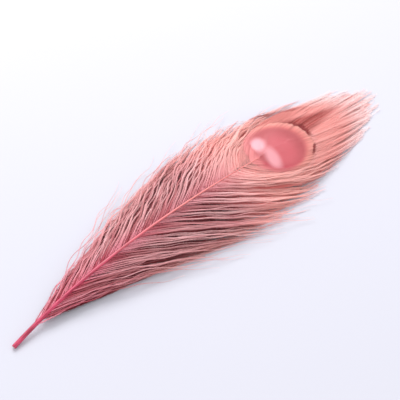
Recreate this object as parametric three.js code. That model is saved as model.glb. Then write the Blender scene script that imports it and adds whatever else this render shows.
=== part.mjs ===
// A trimmed peacock eye feather, bleached and dyed pink, lying on a flat surface with its upper side up.
// The quill's cut end is towards -Y and the feather's tip towards +Y. Lengths are millimetres.
//
// Everything is first placed on a straightened feather: x across the shaft, y along it from the cut end,
// and z up. fromStraight() then bows that feather sideways and arches it off the surface.

import * as THREE from 'three';

// The whole feather
const LENGTH = 300; // cut end to tip
const BOW = 7; // how far the shaft stands to the left of its ends where it bows most, a third of the way up
const ARCH = 12; // how far the middle of the shaft is lifted off the surface
const GAP = 0.3; // clearance between neighbouring pieces

// The shaft: bare quill at the cut end, thin rachis inside the eye
const SHAFT_LENGTH = 222;
const SHAFT_WIDTH = { cutEnd: 3.0, middle: 1.7, tip: 0.5 };
const SHAFT_HEIGHT = { cutEnd: 2.6, middle: 1.6, tip: 0.5 };
const SHAFT_SIDES = 12;
const SHAFT_RINGS = 26;
const SHAFT_SQUARENESS = 0.75; // exponent of the section's superellipse: 1 is an ellipse, less is squarer

// Stations of the vane, from the lowest barb to the one that goes straight on from the shaft's end.
// root: where a barb leaves the shaft. leave: its angle to the shaft there, in degrees.
// tipX, tipY: where it ends on the right side. tipAngle: its angle to the shaft there, in degrees.
const STATIONS = [
  { root: 18, leave: 21, tipX: 21, tipY: 96, tipAngle: 13 },
  { root: 58, leave: 27, tipX: 38, tipY: 146, tipAngle: 19 },
  { root: 106, leave: 31, tipX: 46, tipY: 194, tipAngle: 17 },
  { root: 154, leave: 36, tipX: 34, tipY: 232, tipAngle: 3 },
  { root: 184, leave: 62, tipX: 22, tipY: 266, tipAngle: -10 },
  { root: SHAFT_LENGTH + 1, leave: 0, tipX: 0, tipY: LENGTH, tipAngle: 0 },
];
// How each property goes on past the last station, where the other side's barbs mirror this side's
const MIRRORED = { root: 1, leave: -1, tipX: -1, tipY: 1, tipAngle: -1 };
const EYE_STATION = 4; // barbs from this station on belong to the eye
const HANDLE_SHARE = 0.36; // length of a barb's curve handles, as a share of its straight length
const LEFT_SPREAD = 1.08; // how much wider the left barbs spread than the right ones

// The thin sheets that the barbs form together
const SHEET_ROOT = 1.0; // thickness at the shaft
const SHEET_TIP = 0.8; // thickness at the barbs' tips
const DROOP = 1.6; // exponent of the fall from the shaft to the surface along a barb
const RESTING_FROM = 0.86; // share of a barb's length from which it lies on the surface
const LOCK_GAP_SHARE = 0.14; // share of a lock's pitch that is open between locks
const SIDE_LOCKS = 20;
const SIDE_FORK = 0.3; // share of the barbs' length where the side locks part
const SIDE_ROWS = 10;
const EYE_LOCKS = 13; // on each half of the eye
const EYE_FORK = 0.6; // share of the barbs' length where the crown's locks part
const EYE_ROWS = 12;
const SHORTEST_LOCK = 0.93; // length of the shortest lock, as a share of the longest
const LOCK_STEP = (2 * Math.PI * 5) / 12; // turns the lengths of the locks through their range, 12 to a cycle

/** 0 at both ends of the feather and 1 at its middle. */
function archShare(y) {
  const t = y / LENGTH;
  return 4 * t * (1 - t);
}

/** 0 at both ends of the feather and 1 a third of the way up; it runs out level at the tip. */
function bowShare(y) {
  const t = y / LENGTH;
  return 6.75 * t * (1 - t) ** 2;
}

/** Moves a point of the straightened feather to where it is on the feather that lies on the surface. */
function fromStraight(x, y, z) {
  const t = y / LENGTH;
  const slope = (-6.75 * BOW * (1 - t) * (1 - 3 * t)) / LENGTH;
  const across = x / Math.hypot(1, slope);
  return new THREE.Vector3(across - BOW * bowShare(y), y - across * slope, z);
}

/** Value at y of a size given at the shaft's cut end, middle and tip. */
function alongShaft(size, y) {
  const t = THREE.MathUtils.clamp(y / SHAFT_LENGTH, 0, 1);
  return t < 0.5
    ? THREE.MathUtils.lerp(size.cutEnd, size.middle, 2 * t)
    : THREE.MathUtils.lerp(size.middle, size.tip, 2 * t - 1);
}

/** Smooth value of one station property at u, which counts stations (0 is the first). */
function atStation(property, u) {
  const last = STATIONS.length - 1;
  const i = Math.min(Math.floor(u), last - 1);
  const [from, to] = [STATIONS[i][property], STATIONS[i + 1][property]];
  const before = i > 0 ? STATIONS[i - 1][property] : 2 * from - to;
  const after = i + 2 <= last ? STATIONS[i + 2][property] : MIRRORED[property] * from;
  const t = u - i;
  const startSlope = (to - before) / 2;
  const endSlope = (after - from) / 2;
  const t2 = t * t;
  const t3 = t2 * t;
  return (
    (2 * t3 - 3 * t2 + 1) * from + (t3 - 2 * t2 + t) * startSlope + (3 * t2 - 2 * t3) * to + (t3 - t2) * endSlope
  );
}

/**
 * The curve of one barb in the straightened feather's plane.
 * u counts stations, side is 1 on the right and -1 on the left, and length is a share of the full length.
 */
function barbCurve(u, side, length) {
  const rootY = atStation('root', u);
  const leave = THREE.MathUtils.degToRad(atStation('leave', u));
  const tipAngle = THREE.MathUtils.degToRad(atStation('tipAngle', u));
  const isMiddle = u === STATIONS.length - 1;
  const rootX = isMiddle ? 0 : alongShaft(SHAFT_WIDTH, rootY) / 2 + GAP;
  const root = new THREE.Vector2(side * rootX, rootY);
  const spread = side < 0 ? LEFT_SPREAD : 1;
  const tip = new THREE.Vector2(side * spread * atStation('tipX', u), atStation('tipY', u));
  tip.lerp(root, 1 - length);
  const handle = HANDLE_SHARE * root.distanceTo(tip);
  const out = new THREE.Vector2(side * Math.sin(leave), Math.cos(leave)).multiplyScalar(handle).add(root);
  const back = new THREE.Vector2(side * -Math.sin(tipAngle), -Math.cos(tipAngle)).multiplyScalar(handle).add(tip);
  return new THREE.CubicBezierCurve(root, out, back, tip);
}

/** Height of the sheets' underside at share f of a barb that leaves the shaft at rootY. */
function undersideHeight(rootY, f) {
  const atShaft = ARCH * archShare(rootY) + 0.3 * alongShaft(SHAFT_HEIGHT, rootY);
  return atShaft * Math.max(0, 1 - (f / RESTING_FROM) ** DROOP);
}

/**
 * A closed sheet over a grid of cells. corner(column, row, isTop) places a corner and kept(column, row)
 * says whether a cell is solid.
 */
function sheetGeometry(columns, rows, corner, kept) {
  const positions = [];
  for (const isTop of [true, false]) {
    for (let c = 0; c <= columns; c++) {
      for (let r = 0; r <= rows; r++) {
        positions.push(...corner(c, r, isTop).toArray());
      }
    }
  }
  const perSkin = (columns + 1) * (rows + 1);
  const top = (c, r) => c * (rows + 1) + r;
  const bottom = (c, r) => perSkin + top(c, r);
  const isSolid = (c, r) => c >= 0 && c < columns && r >= 0 && r < rows && kept(c, r);
  const faces = [];
  const quad = (a, b, c, d) => faces.push(a, b, c, a, c, d);
  const wall = (c0, r0, c1, r1) => quad(top(c0, r0), bottom(c0, r0), bottom(c1, r1), top(c1, r1));
  for (let c = 0; c < columns; c++) {
    for (let r = 0; r < rows; r++) {
      if (!isSolid(c, r)) continue;
      quad(top(c, r), top(c + 1, r), top(c + 1, r + 1), top(c, r + 1));
      quad(bottom(c, r), bottom(c, r + 1), bottom(c + 1, r + 1), bottom(c + 1, r));
      if (!isSolid(c, r - 1)) wall(c, r, c + 1, r);
      if (!isSolid(c, r + 1)) wall(c + 1, r + 1, c, r + 1);
      if (!isSolid(c - 1, r)) wall(c, r + 1, c, r);
      if (!isSolid(c + 1, r)) wall(c + 1, r, c + 1, r + 1);
    }
  }
  const used = [...new Set(faces)];
  const newIndex = new Map(used.map((old, index) => [old, index]));
  const geometry = new THREE.BufferGeometry();
  const kept3 = used.flatMap((old) => positions.slice(3 * old, 3 * old + 3));
  geometry.setAttribute('position', new THREE.Float32BufferAttribute(kept3, 3));
  geometry.setIndex(faces.map((old) => newIndex.get(old)));
  return geometry;
}

/** Edges of the columns of a comb of locks, from 0 to 1: each lock is followed by a narrow gap but the last. */
function combEdges(locks) {
  const pitch = 1 / (locks - LOCK_GAP_SHARE);
  const edges = [];
  for (let k = 0; k < locks; k++) {
    edges.push(k * pitch, (k + 1 - LOCK_GAP_SHARE) * pitch);
  }
  edges[edges.length - 1] = 1;
  return edges;
}

/** Length of the lock that column edge c belongs to, as a share of the longest lock. */
function lockLength(c) {
  const lock = Math.floor(c / 2);
  return SHORTEST_LOCK + (1 - SHORTEST_LOCK) * (0.5 + 0.5 * Math.cos(LOCK_STEP * lock));
}

/** Places the sheet's corner at share f of the barb at station u. */
function sheetCorner(u, side, length, f, isTop) {
  const point = barbCurve(u, side, length).getPoint(f);
  const low = undersideHeight(atStation('root', u), f);
  const thickness = THREE.MathUtils.lerp(SHEET_ROOT, SHEET_TIP, f);
  return fromStraight(point.x, point.y, isTop ? low + thickness : low);
}

/** The loose barbs on one side: side is 1 on the right and -1 on the left. */
function sideBarbsGeometry(side) {
  const edges = combEdges(SIDE_LOCKS);
  const columns = edges.length - 1;
  const lastStation = EYE_STATION - 0.07;
  const corner = (c, r, isTop) => {
    const column = side > 0 ? columns - c : c;
    return sheetCorner(lastStation * edges[column], side, lockLength(column), r / SIDE_ROWS, isTop);
  };
  const kept = (c, r) => c % 2 === 0 || r < SIDE_FORK * SIDE_ROWS;
  return sheetGeometry(columns, SIDE_ROWS, corner, kept);
}

/** The barbs round the shaft's end, from the lowest on the left over the top to the lowest on the right. */
function eyeBarbsGeometry() {
  const half = combEdges(EYE_LOCKS);
  const last = half.length - 1;
  const columns = 2 * last;
  const corner = (c, r, isTop) => {
    const side = c < last ? -1 : 1;
    const column = last - Math.abs(c - last);
    const u = THREE.MathUtils.lerp(EYE_STATION, STATIONS.length - 1, half[column]);
    return sheetCorner(u, side, lockLength(column), r / EYE_ROWS, isTop);
  };
  const kept = (c, r) => {
    const column = c < last ? c : columns - 1 - c;
    return column % 2 === 0 || r < EYE_FORK * EYE_ROWS;
  };
  return sheetGeometry(columns, EYE_ROWS, corner, kept);
}

/** The quill and rachis: rings of a rounded rectangle that shrink towards the tip, closed at both ends. */
function shaftGeometry() {
  const positions = [];
  const rounded = (value) => Math.sign(value) * Math.abs(value) ** SHAFT_SQUARENESS;
  const rings = SHAFT_RINGS;
  for (let ring = 0; ring <= rings; ring++) {
    const y = (SHAFT_LENGTH * ring) / rings;
    const width = alongShaft(SHAFT_WIDTH, y);
    const height = alongShaft(SHAFT_HEIGHT, y);
    const middle = ARCH * archShare(y) + height / 2;
    for (let side = 0; side < SHAFT_SIDES; side++) {
      const angle = (2 * Math.PI * (side + 0.5)) / SHAFT_SIDES;
      const x = (width / 2) * rounded(Math.cos(angle));
      const z = middle + (height / 2) * rounded(Math.sin(angle));
      positions.push(...fromStraight(x, y, z).toArray());
    }
  }
  const faces = [];
  for (let ring = 0; ring < rings; ring++) {
    for (let side = 0; side < SHAFT_SIDES; side++) {
      const next = (side + 1) % SHAFT_SIDES;
      const [a, b] = [ring * SHAFT_SIDES + side, ring * SHAFT_SIDES + next];
      const [c, d] = [a + SHAFT_SIDES, b + SHAFT_SIDES];
      faces.push(a, c, b, b, c, d);
    }
  }
  const tipStart = rings * SHAFT_SIDES;
  for (let side = 1; side < SHAFT_SIDES - 1; side++) {
    faces.push(0, side, side + 1);
    faces.push(tipStart, tipStart + side + 1, tipStart + side);
  }
  const geometry = new THREE.BufferGeometry();
  geometry.setAttribute('position', new THREE.Float32BufferAttribute(positions, 3));
  geometry.setIndex(faces);
  return geometry;
}

/** One named piece with its own material. */
function piece(name, geometry, color, roughness) {
  geometry.computeVertexNormals();
  const material = new THREE.MeshStandardMaterial({ color, roughness, metalness: 0 });
  const mesh = new THREE.Mesh(geometry, material);
  mesh.name = name;
  return mesh;
}

const feather = new THREE.Group();
feather.add(piece('shaft', shaftGeometry(), 0xc73b60, 0.4));
feather.add(piece('left_barbs', sideBarbsGeometry(-1), 0xdba3a3, 0.8));
feather.add(piece('right_barbs', sideBarbsGeometry(1), 0xdba3a3, 0.8));
feather.add(piece('eye_barbs', eyeBarbsGeometry(), 0xe5868a, 0.5));

// The origin is on the surface, under the middle of the feather's box.
const box = new THREE.Box3().setFromObject(feather);
const middle = box.getCenter(new THREE.Vector3());
feather.position.set(-middle.x, -middle.y, -box.min.z);

export default feather;
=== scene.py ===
"""Looks of a trimmed peacock eye feather, bleached and dyed pink, that lies on a pale surface.

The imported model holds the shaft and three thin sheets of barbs. Here the shaft gets its keratin, and every
sheet is replaced by its single barbs: a fine branch each, fringed with barbules, flattened side by side
where they make the eye. The form is worked out in millimetres on a straightened feather and then laid on
the surface; meshes are in metres.
"""

import logging
import math
from collections.abc import Callable
from dataclasses import dataclass, field
from enum import Enum
from typing import Any

import bpy
import numpy as np
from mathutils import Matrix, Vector


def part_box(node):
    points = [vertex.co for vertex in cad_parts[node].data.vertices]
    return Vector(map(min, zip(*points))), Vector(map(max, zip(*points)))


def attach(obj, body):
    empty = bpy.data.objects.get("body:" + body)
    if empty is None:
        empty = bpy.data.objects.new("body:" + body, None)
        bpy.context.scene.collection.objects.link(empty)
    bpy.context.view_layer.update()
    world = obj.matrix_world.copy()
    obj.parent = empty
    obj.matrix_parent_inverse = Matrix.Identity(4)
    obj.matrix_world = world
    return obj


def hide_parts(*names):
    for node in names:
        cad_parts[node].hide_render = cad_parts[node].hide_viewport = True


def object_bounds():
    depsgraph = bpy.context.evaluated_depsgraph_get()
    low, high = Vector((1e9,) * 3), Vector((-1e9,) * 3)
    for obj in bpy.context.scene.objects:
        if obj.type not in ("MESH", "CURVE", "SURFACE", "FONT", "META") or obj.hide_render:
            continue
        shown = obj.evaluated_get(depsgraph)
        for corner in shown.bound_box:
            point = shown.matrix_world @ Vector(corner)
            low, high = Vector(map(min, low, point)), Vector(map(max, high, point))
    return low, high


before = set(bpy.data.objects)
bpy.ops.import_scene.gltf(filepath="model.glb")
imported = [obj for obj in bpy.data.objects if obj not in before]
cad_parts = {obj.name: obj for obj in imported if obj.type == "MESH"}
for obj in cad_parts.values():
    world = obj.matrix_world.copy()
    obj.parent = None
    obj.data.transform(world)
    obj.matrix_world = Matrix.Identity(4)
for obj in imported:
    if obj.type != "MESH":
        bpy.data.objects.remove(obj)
CAD_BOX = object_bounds()

LOG = logging.getLogger("feather")
MM = 0.001
ROOT_BODY = "root"
BAKE_MAP = "OFBake"
BARB_ATTRIBUTE = "barb"  # share of the barb's length, side of its branch, random number of the barb
EYE_ATTRIBUTE = "eye"  # place across and along from the eye's centre, in the eye's radii, and depth
BOW_PEAK = 6.75  # brings t * (1 - t)**2 to 1 where it is highest
BRANCH_CORNERS = 3
BRANCH_EDGE = 0.12  # half width of a branch in its barb's column of the bake map, which runs from -1 to 1
COLUMN_REACH = 0.46  # half width of what is used of a column, as a share of the column
MAP_MARGIN = 0.004
FLOOR_GAP = 0.04 * MM

Array = np.ndarray
Colour = tuple[float, float, float]


class Side(Enum):
    """The two vanes, as seen from above with the tip away from you."""

    LEFT = -1
    RIGHT = 1


def srgb(red: int, green: int, blue: int) -> Colour:
    """Turns a colour of 0 to 255 on a screen into linear light.

    Args:
        red: Red, 0 to 255.
        green: Green, 0 to 255.
        blue: Blue, 0 to 255.

    Returns:
        The three linear numbers, 0 to 1.
    """
    parts = [c / 255 for c in (red, green, blue)]
    return tuple(c / 12.92 if c <= 0.04045 else ((c + 0.055) / 1.055) ** 2.4 for c in parts)


def smooth(low: float, high: float, value: Array) -> Array:
    """Rises smoothly from 0 at low to 1 at high.

    Args:
        low: Where the rise starts.
        high: Where it ends, which may be below low for a fall.
        value: The numbers to place between them.

    Returns:
        A share from 0 to 1 for each number.
    """
    t = np.clip((value - low) / (high - low), 0, 1)
    return t * t * (3 - 2 * t)


def unit(vectors: Array) -> Array:
    """Scales each vector of an array to length 1."""
    return vectors / np.maximum(np.linalg.norm(vectors, axis=-1, keepdims=True), 1e-12)


# ---- Form ----


@dataclass(frozen=True)
class Station:
    """One place along the vane, in millimetres and degrees, on the right side of the straightened feather.

    A barb leaves the shaft at root, turned away from it by leave, and ends at the tip, turned by tip_angle.
    """

    root: float
    leave: float
    tip_x: float
    tip_y: float
    tip_angle: float


@dataclass(frozen=True)
class FeatherForm:
    """The feather's driving sizes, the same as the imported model's, and the curves that follow from them."""

    length: float = 300.0
    bow: float = 7.0
    arch: float = 12.0
    shaft_length: float = 222.0
    shaft_width: tuple[float, float, float] = (3.0, 1.7, 0.5)
    shaft_height: tuple[float, float, float] = (2.6, 1.6, 0.5)
    left_spread: float = 1.08
    root_share: float = 0.35  # where a barb starts inside the shaft, as a share of the shaft's width
    root_rise: tuple[float, float] = (1.2, 0.6)  # the same up its height, over the shaft and beside it
    handle_share: float = 0.36
    droop: float = 1.6
    settle_share: float = 0.93
    notch: float = 200.0
    notch_reach: float = 3.0
    eye_station: float = 4.0
    eye_centre: float = 217.0
    eye_radii: tuple[float, float] = (23.0, 23.5)
    eye_crown: float = 2.0
    stations: tuple[Station, ...] = (
        Station(18, 21, 21, 96, 13),
        Station(58, 27, 38, 146, 19),
        Station(106, 31, 46, 194, 17),
        Station(154, 36, 34, 232, 3),
        Station(184, 62, 22, 266, -10),
        Station(223, 0, 0, 300, 0),
    )
    mirrored: dict[str, int] = field(
        default_factory=lambda: {"root": 1, "leave": -1, "tip_x": -1, "tip_y": 1, "tip_angle": -1}
    )

    @property
    def last_station(self) -> float:
        """The station of the barb that goes straight on from the shaft's end."""
        return float(len(self.stations) - 1)

    @property
    def origin(self) -> tuple[float, float]:
        """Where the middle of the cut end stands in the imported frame.

        Returns:
            Millimetres across and along.
        """
        low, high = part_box("shaft")
        slope = self.bow_slope(0.0)
        across = self.shaft_width[0] / 2 / math.hypot(1, slope)
        return high.x / MM - across, low.y / MM - across * slope

    def arch_share(self, y: Array) -> Array:
        """0 at both ends of the feather and 1 at its middle."""
        t = y / self.length
        return 4 * t * (1 - t)

    def bow_slope(self, y: Array) -> Array:
        """How far the middle line runs sideways for each millimetre along it, to the right if positive."""
        t = y / self.length
        return -BOW_PEAK * self.bow * (1 - t) * (1 - 3 * t) / self.length

    def along_shaft(self, sizes: tuple[float, float, float], y: Array) -> Array:
        """Value at y of a size given at the shaft's cut end, middle and tip."""
        return np.interp(y, [0, self.shaft_length / 2, self.shaft_length], sizes)

    def lying(self, x: Array, y: Array, z: Array) -> Array:
        """Lays points of the straightened feather down on the surface.

        Args:
            x: Millimetres across the shaft.
            y: Millimetres from the cut end.
            z: Millimetres above the surface.

        Returns:
            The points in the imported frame, in metres.
        """
        t = y / self.length
        slope = self.bow_slope(y)
        across = x / np.hypot(1, slope)
        left, start = self.origin
        middle = left - self.bow * BOW_PEAK * t * (1 - t) ** 2
        placed = [middle + across, y - across * slope + start, z]
        return np.stack(np.broadcast_arrays(*placed), axis=-1) * MM

    def at_station(self, name: str, u: Array) -> Array:
        """Smooth value of one property of the stations.

        Args:
            name: The property's name.
            u: Where to read it, in stations: 0 is the first.

        Returns:
            The value at each u.
        """
        values = np.array([getattr(s, name) for s in self.stations], float)
        values = np.r_[2 * values[0] - values[1], values, self.mirrored[name] * values[-2]]
        slopes = (values[2:] - values[:-2]) / 2
        i = np.clip(np.floor(u).astype(int), 0, len(self.stations) - 2)
        t = u - i
        start, end = values[i + 1], values[i + 2]
        rise = (3 - 2 * t) * t * t
        return start * (1 - rise) + end * rise + t * (1 - t) * ((1 - t) * slopes[i] - t * slopes[i + 1])

    def barb_point(self, u: Array, side: float, f: Array, reach: Array) -> tuple[Array, Array]:
        """Point at share f of the barb at station u, on the straightened feather.

        Args:
            u: The barb's station.
            side: 1 on the right and -1 on the left.
            f: Share of the barb's length.
            reach: The barb's length as a share of its full length.

        Returns:
            Millimetres across the shaft and from the cut end.
        """
        root_y = self.at_station("root", u)
        leave = np.radians(self.at_station("leave", u))
        turn = np.radians(self.at_station("tip_angle", u))
        spread = self.left_spread if side < 0 else 1.0
        width = self.along_shaft(self.shaft_width, root_y)
        root_x = self.root_share * width * self.beside_shaft(root_y)
        tip_x = root_x + (spread * self.at_station("tip_x", u) - root_x) * reach
        tip_y = root_y + (self.at_station("tip_y", u) - root_y) * reach
        handle = self.handle_share * np.hypot(tip_x - root_x, tip_y - root_y)
        g = 1 - f
        weights = (g**3, 3 * g * g * f, 3 * g * f * f, f**3)
        across = (root_x, root_x + handle * np.sin(leave), tip_x - handle * np.sin(turn), tip_x)
        along = (root_y, root_y + handle * np.cos(leave), tip_y - handle * np.cos(turn), tip_y)
        x = sum(w * p for w, p in zip(weights, across, strict=True))
        y = sum(w * p for w, p in zip(weights, along, strict=True))
        return side * x, y

    def beside_shaft(self, root_y: Array) -> Array:
        """1 where barbs leave the sides of the shaft and 0 where they lie over it, inside the eye."""
        return smooth(self.notch + self.notch_reach, self.notch - self.notch_reach, root_y)

    def barb_height(self, u: Array, f: Array) -> Array:
        """Height of a barb's branch, which falls from the shaft to the surface.

        Args:
            u: The barb's station.
            f: Share of the barb's length.

        Returns:
            Millimetres above the surface.
        """
        root_y = self.at_station("root", u)
        over, beside = self.root_rise
        share = over - (over - beside) * self.beside_shaft(root_y)
        at_shaft = self.arch * self.arch_share(root_y) + share * self.along_shaft(self.shaft_height, root_y)
        return at_shaft * np.maximum(0, 1 - (f / self.settle_share) ** self.droop)

    def eye_height(self, p: Array, y: Array) -> Array:
        """Height of the eye's smooth disc, highest over the shaft, at p radii across and y along."""
        top = self.arch * self.arch_share(y) + self.root_rise[0] * self.shaft_height[2]
        return top - self.eye_crown * p**2

    def eye_place(self, x: Array, y: Array) -> tuple[Array, Array]:
        """Place from the eye's centre in the eye's radii, across and along the feather."""
        return x / self.eye_radii[0], (y - self.eye_centre) / self.eye_radii[1]


# ---- Shader maths ----


def operator(operation: str, swapped: bool = False) -> Callable[["Value", "Number"], "Value"]:
    """Makes the method behind one of Python's operators.

    Args:
        operation: The Math node's operation.
        swapped: Whether it is the reflected form, with the Value on the right.

    Returns:
        The method.
    """

    def method(value: "Value", other: "Number") -> "Value":
        """Adds the Math node."""
        return value.graph.math(operation, *((other, value) if swapped else (value, other)))

    return method


class Value:
    """A number that a material works out. Arithmetic on it adds Math nodes."""

    def __init__(self, graph: "Graph", socket: bpy.types.NodeSocket) -> None:
        """Keeps the socket that gives the number."""
        self.graph = graph
        self.socket = socket

    __add__ = __radd__ = operator("ADD")
    __mul__ = __rmul__ = operator("MULTIPLY")
    __sub__, __rsub__ = operator("SUBTRACT"), operator("SUBTRACT", swapped=True)
    __truediv__, __rtruediv__ = operator("DIVIDE"), operator("DIVIDE", swapped=True)

    def __neg__(self) -> "Value":
        """Opposite."""
        return self.graph.math("MULTIPLY", self, -1.0)

    def __abs__(self) -> "Value":
        """Size without its sign."""
        return self.graph.math("ABSOLUTE", self)

    def rise(self, low: float, high: float) -> "Value":
        """Steps smoothly from 0 at low to 1 at high, or from 1 to 0 if high is below low.

        Args:
            low: Where the result is 0.
            high: Where it is 1.

        Returns:
            The share, 0 to 1.
        """
        up = low < high
        limits = {"From Min": min(low, high), "From Max": max(low, high)}
        results = {"To Min": 0.0 if up else 1.0, "To Max": 1.0 if up else 0.0}
        settings = {"interpolation_type": "SMOOTHSTEP"}
        node = self.graph.add("ShaderNodeMapRange", settings, {"Value": self, **limits, **results})
        return Value(self.graph, node.outputs["Result"])


Number = Value | float


class Graph:
    """A material's node tree, built from its shader backwards."""

    def __init__(self, name: str) -> None:
        """Makes the material with one Principled shader.

        Args:
            name: The material's name.
        """
        self.material = bpy.data.materials.new(name)
        self.material.use_nodes = True
        self.tree = self.material.node_tree
        self.tree.nodes.clear()
        self.shader = self.add("ShaderNodeBsdfPrincipled")
        output = self.add("ShaderNodeOutputMaterial")
        self.tree.links.new(self.shader.outputs["BSDF"], output.inputs["Surface"])

    def add(
        self, kind: str, settings: dict[str, Any] | None = None, inputs: dict[str | int, Any] | None = None
    ) -> bpy.types.Node:
        """Adds one node.

        Args:
            kind: The node's Blender type.
            settings: Its properties, set before its sockets are.
            inputs: Its sockets by name or number, each a Value, a socket or a plain value.

        Returns:
            The new node.
        """
        node = self.tree.nodes.new(kind)
        for key, setting in (settings or {}).items():
            setattr(node, key, setting)
        for key, given in (inputs or {}).items():
            self.put(node.inputs[key], given)
        return node

    def put(self, socket: bpy.types.NodeSocket, given: Any) -> None:
        """Feeds one socket.

        Args:
            socket: The socket.
            given: A Value or another socket to link it to, or its plain value.
        """
        if isinstance(given, Value):
            self.tree.links.new(given.socket, socket)
        elif isinstance(given, bpy.types.NodeSocket):
            self.tree.links.new(given, socket)
        elif socket.type == "RGBA" and len(given) == 3:
            socket.default_value = (*given, 1.0)
        else:
            socket.default_value = given

    def math(self, operation: str, *values: Number) -> Value:
        """One Math node on numbers."""
        node = self.add("ShaderNodeMath", {"operation": operation}, dict(enumerate(values)))
        return Value(self, node.outputs[0])

    def mix(self, share: Number, first: Any, second: Any) -> bpy.types.NodeSocket:
        """One colour mixed into another.

        Args:
            share: 0 gives the first colour and 1 the second.
            first: A colour or a colour socket.
            second: Another.

        Returns:
            The socket with the result.
        """
        settings = {"data_type": "RGBA", "clamp_factor": True}
        node = self.add("ShaderNodeMix", settings, {0: share, 6: first, 7: second})
        return node.outputs[2]

    def coats(self, colour: Any, *coats: tuple[Number, Any]) -> bpy.types.NodeSocket:
        """Lays coats of colour on one another.

        Args:
            colour: The lowest colour.
            coats: For each coat its share, 1 where it covers all that lies under it, and its colour.

        Returns:
            The socket with the result.
        """
        for share, coat in coats:
            colour = self.mix(share, colour, coat)
        return colour

    def attribute(self, name: str) -> tuple[Value, Value, Value]:
        """The three numbers of a vector attribute of the mesh."""
        source = self.add("ShaderNodeAttribute", {"attribute_name": name})
        return self.split(source.outputs["Vector"])

    def split(self, vector: bpy.types.NodeSocket) -> tuple[Value, Value, Value]:
        """The three numbers of a vector."""
        node = self.add("ShaderNodeSeparateXYZ", inputs={"Vector": vector})
        return tuple(Value(self, out) for out in node.outputs)

    def noise(self, scale: float, detail: float = 3, place: bpy.types.NodeSocket | None = None) -> Value:
        """Noise on the object's own coordinates, or on others.

        Args:
            scale: Cycles per metre.
            detail: Octaves.
            place: Other coordinates.

        Returns:
            A number round 0.5.
        """
        if place is None:
            place = self.add("ShaderNodeTexCoord").outputs["Object"]
        node = self.add("ShaderNodeTexNoise", inputs={"Vector": place, "Scale": scale, "Detail": detail})
        return Value(self, node.outputs["Fac"])

    def bump(self, height: Value, strength: float, distance: float) -> bpy.types.NodeSocket:
        """A normal bumped by a height, with the distance in metres."""
        inputs = {"Strength": strength, "Distance": distance, "Height": height}
        return self.add("ShaderNodeBump", inputs=inputs).outputs["Normal"]

    def finish(self, sockets: dict[str, Any]) -> bpy.types.Material:
        """Feeds the Principled shader.

        Args:
            sockets: What feeds each of its sockets, by their names.

        Returns:
            The finished material.
        """
        for name, given in sockets.items():
            self.put(self.shader.inputs[name], given)
        return self.material


# ---- Finishes ----


@dataclass(frozen=True)
class Reading:
    """What the material of a barb reads at each point, and the nodes that it adds to.

    along is the share of the barb's length, across the side of its branch, lot the barb's random number,
    p and q the place across and along from the eye's centre in the eye's radii, and depth 0 in the upper
    layer of barbs and 1 in the lower.
    """

    graph: Graph
    along: Value
    across: Value
    lot: Value
    p: Value
    q: Value
    depth: Value

    @classmethod
    def of(cls, graph: Graph) -> "Reading":
        """Reads both attributes."""
        return cls(graph, *graph.attribute(BARB_ATTRIBUTE), *graph.attribute(EYE_ATTRIBUTE))

    def left_parting_shade(self) -> Value:
        """1 along the painted shade of the parting between the crown and the left vane.

        Returns:
            The share, 0 elsewhere.
        """
        wander = (self.graph.noise(120.0, detail=2) - 0.5) * 0.12
        across = self.p + 1.36 - self.q * self.q * 0.16 + wander
        return abs(across).rise(0.11, 0.03) * self.q.rise(-0.1, 0.3) * self.q.rise(2.0, 1.3)


@dataclass(frozen=True)
class KeratinFinish:
    """The dyed skin of the quill and rachis: crimson and glossy, paling to coral inside the eye."""

    deep: Colour = srgb(150, 24, 58)
    bright: Colour = srgb(206, 60, 100)
    pale: Colour = srgb(222, 128, 122)
    roughness: float = 0.34
    streak_scale: float = 1100.0
    streak_stretch: float = 0.03
    streak_depth: float = 0.00008
    blotch_scale: float = 55.0
    pale_from: float = 0.2
    pale_to: float = 0.7

    def material(self, form: FeatherForm) -> bpy.types.Material:
        """Builds the material on the object's own coordinates.

        Args:
            form: The feather's sizes.

        Returns:
            The material.
        """
        graph = Graph("dyed_keratin")
        x, y, z = graph.split(graph.add("ShaderNodeTexCoord").outputs["Object"])
        t = (y - form.origin[1] * MM) / (form.length * MM)
        along = t * (form.length / form.shaft_length)
        straight = x + t * (1 - t) * (1 - t) * (BOW_PEAK * form.bow * MM)
        inputs = {"X": straight, "Y": y * self.streak_stretch, "Z": z}
        grain = graph.add("ShaderNodeCombineXYZ", inputs=inputs)
        streaks = graph.noise(self.streak_scale, detail=4, place=grain.outputs[0])
        colour = graph.coats(
            self.deep,
            (streaks.rise(0.36, 0.66), self.bright),
            (along.rise(self.pale_from, self.pale_to) * 0.85, self.pale),
            (graph.noise(self.blotch_scale).rise(0.5, 0.75) * 0.25, self.deep),
        )
        return graph.finish(
            {
                "Base Color": colour,
                "Roughness": streaks.rise(0.2, 0.8) * 0.2 + self.roughness,
                "Coat Weight": 0.25,
                "Coat Roughness": 0.2,
                "Normal": graph.bump(streaks, 0.35, self.streak_depth),
            }
        )


@dataclass(frozen=True)
class PithFinish:
    """The pale foam that the cut end shows inside the skin."""

    light: Colour = srgb(246, 214, 210)
    dark: Colour = srgb(214, 150, 156)
    cell_scale: float = 6000.0
    cell_depth: float = 0.0001

    def material(self) -> bpy.types.Material:
        """Builds the material.

        Returns:
            The material.
        """
        graph = Graph("quill_pith")
        cells = graph.noise(self.cell_scale, detail=2)
        return graph.finish(
            {
                "Base Color": graph.mix(cells.rise(0.35, 0.6), self.dark, self.light),
                "Roughness": 0.85,
                "Normal": graph.bump(cells, 0.6, self.cell_depth),
            }
        )


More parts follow.
